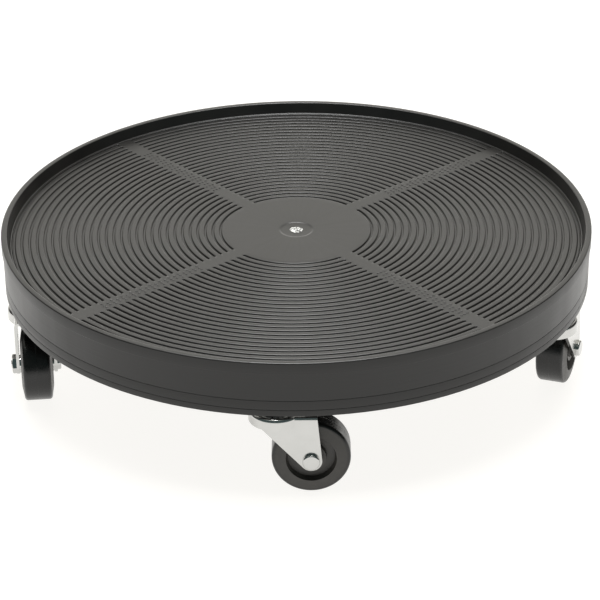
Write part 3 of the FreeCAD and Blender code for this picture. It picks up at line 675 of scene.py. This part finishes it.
for radius in RING_RIBS:
    add_tube((0, 0), radius - RIB / 2, radius + RIB / 2, rib_foot, rib_top, 192)
for index in range(RADIAL_RIBS):
    rib_end = skirt_face - SKIRT_SHEET + 0.4
    add_box((RING_RIBS[0], -RIB / 2, rib_foot), (rib_end, RIB / 2, rib_top), 360 / RADIAL_RIBS * index)
for index in range(CASTERS):
    add_pad(360 / CASTERS * index - 90)
underside = new_piece("tray_ribs_and_pads", points, faces, black_plastic)
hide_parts("tray")
print("ribs and pads: points", len(points), "caster circle", round(caster_circle, 2))

# %% [markdown]
# ## The sprue stub
# The stub in the dish is a low, torn lump of plastic. Its height at each point is the height of its ring
# times a number from a fixed list of random ones, so it is torn, but the same lump every time. A Displace
# modifier would be smoother than a tear is.

# %% Sprue stub
STUB_RINGS = [(1.2, 0.75), (2.4, 0.55), (3.6, 0.85), (4.7, 0.5), (5.6, 0.7), (6.2, 0.35), (6.6, -0.1)]
STUB_POINTS = 40
STRETCH = 1.05

chance = random.Random(7)
points = [(0, 0, FLOOR - 0.15)]
rings = []
for radius, height in STUB_RINGS:
    ring = []
    for turn in circle(STUB_POINTS):
        reach = radius * (1 + 0.05 * math.sin(3 * turn) + chance.uniform(-0.03, 0.03))
        rise = height * chance.uniform(0.35, 1.25) if height > 0 else height
        ring.append(len(points))
        points.append((reach * STRETCH * math.cos(turn), reach * math.sin(turn), FLOOR - DISH_DEPTH + rise))
    rings.append(ring)
stub = new_piece("sprue_stub", points, net(rings) + fan(rings[0], 0), torn_plastic)
print("sprue stub", [round(v / MM, 2) for v in stub.dimensions])

# %% [markdown]
# ## Grip pips on the bands
# Each plain band carries small raised marks over its outer half. They are drawn as plain round pips, in
# rows of three and two by turns, that give a wet pot some grip. Each pip is a low dome, and each band's
# pips are one piece. A bump would do from afar, but real domes also cast their own small shade.

# %% Grip pips
PIP = 1.35
PIP_HEIGHT = 0.6
PIP_POINTS = 10
PIP_RINGS = ((1.0, -0.05), (0.85, 0.55), (0.5, 0.9))
PIPS_START = 130.0
PIP_PITCH = 6.0
PIP_ROWS = 21
ROW_OF_THREE = (-4.2, 0.0, 4.2)
ROW_OF_TWO = (-2.1, 2.1)


def dome(points, faces, out, along, spin):
    """One pip on a band: three rings of points and a tip."""
    rings = []
    for reach, rise in PIP_RINGS:
        rings.append(list(range(len(points), len(points) + PIP_POINTS)))
        for turn in circle(PIP_POINTS):
            across = PIP * reach * math.cos(turn)
            sideways = PIP * reach * math.sin(turn)
            spot = Vector((out + across, along + sideways, FLOOR + PIP_HEIGHT * rise))
            points.append(spin @ spot)
    faces.extend(net(rings) + fan(rings[-1], len(points)))
    points.append(spin @ Vector((out, along, FLOOR + PIP_HEIGHT)))


for index in range(4):
    points = []
    faces = []
    spin = Matrix.Rotation(math.radians(BAND_ANGLE + 90 * index), 3, "Z")
    for row in range(PIP_ROWS):
        for along in ROW_OF_TWO if row % 2 else ROW_OF_THREE:
            dome(points, faces, PIPS_START + PIP_PITCH * row, along, spin)
    piece = new_piece(f"band_pips_{index + 1}", points, faces, black_plastic)
print("points of one band's pips", len(points))

# %% [markdown]
# ## The studio
# The caddy stands on a table of milky acrylic lit from below, so there is hardly a shadow under it. A pale
# screen stands behind it with a long lamp low in front of it, a wide lamp hangs overhead, and the sides and
# the camera's end of the room are dark. The satin floor of the tray mirrors the pale screen, while the
# grooves and the bends of the forks face the dark parts and show as dark lines.

# %% Sky
SCREEN = (1.10, 1.08, 1.01, 1.0)
LOW_LAMP = (3.0, 2.95, 2.8, 1.0)
ROOM_SIDE = (0.05, 0.05, 0.048, 1.0)
ROOM_FRONT = (0.07, 0.10, 0.10, 1.0)
LAMP_HEIGHT = 0.10

world = bpy.data.worlds.new("studio")
bpy.context.scene.world = world
world.use_nodes = True
sky = world.node_tree
heading = node(sky, "TexCoord", out="Generated")
sideways = node(sky, "VectorMath", [heading, tuple(right)], "Value", operation="DOT_PRODUCT")
to_side = node(sky, "Math", [sideways], operation="ABSOLUTE")
to_camera = node(sky, "VectorMath", [heading, tuple(-level_away)], "Value", operation="DOT_PRODUCT")
upwards = node(sky, "VectorMath", [heading, (0, 0, 1)], "Value", operation="DOT_PRODUCT")
above_lamp = node(sky, "Math", [upwards, LAMP_HEIGHT], operation="SUBTRACT")
from_lamp = node(sky, "Math", [above_lamp], operation="ABSOLUTE")
lamp_height = node(sky, "MapRange", [from_lamp, 0.04, 0.11, 1, 0])
lamp_width = node(sky, "MapRange", [to_side, 0.34, 0.46, 1, 0])
lamp = node(sky, "Math", [lamp_height, lamp_width], operation="MULTIPLY")
side = node(sky, "MapRange", [to_side, 0.42, 0.72, 0, 1])
front = node(sky, "MapRange", [to_camera, 0.05, 0.35, 0, 1])
around = SCREEN
for amount, colour in ((side, ROOM_SIDE), (lamp, LOW_LAMP), (front, ROOM_FRONT)):
    colours = {0: amount, FIRST_COLOUR: around, SECOND_COLOUR: colour}
    around = node(sky, "Mix", colours, MIX_COLOUR, data_type="RGBA")
sky.links.new(around, sky.nodes["Background"].inputs["Color"])
bpy.context.scene.view_settings.view_transform = "Standard"
print("sky nodes", len(sky.nodes))

# %% Lit table
MILK_CLOUD = 60.0

bpy.ops.mesh.primitive_plane_add(size=20)
studio_floor = bpy.context.object
studio_floor.name = "studio_floor"
acrylic, tree, surface = material("lit_milky_acrylic", roughness=0.6)
place = node(tree, "TexCoord", out="Object")
milk = node(tree, "TexNoise", {"Vector": place, "Scale": per_metre(MILK_CLOUD), "Detail": 3.0})
colours = {0: milk, FIRST_COLOUR: linear("707070"), SECOND_COLOUR: linear("747474")}
tree.links.new(node(tree, "Mix", colours, MIX_COLOUR, data_type="RGBA"), surface["Base Color"])
surface["Emission Color"].default_value = (1.0, 0.985, 0.955, 1.0)
surface["Emission Strength"].default_value = 0.92
studio_floor.data.materials.append(acrylic)

softbox = bpy.data.objects.new("softbox", bpy.data.lights.new("softbox", "AREA"))
bpy.context.scene.collection.objects.link(softbox)
softbox.data.shape = "RECTANGLE"
softbox.data.size = 0.9
softbox.data.size_y = 1.5
softbox.data.energy = 75
softbox.location = level_away * 0.2 + Vector((0, 0, 2.3))
aim = Vector((0, 0, 0.1)) - softbox.location
softbox.rotation_euler = aim.to_track_quat("-Z", "Y").to_euler()
print("softbox", [round(v, 2) for v in softbox.location])
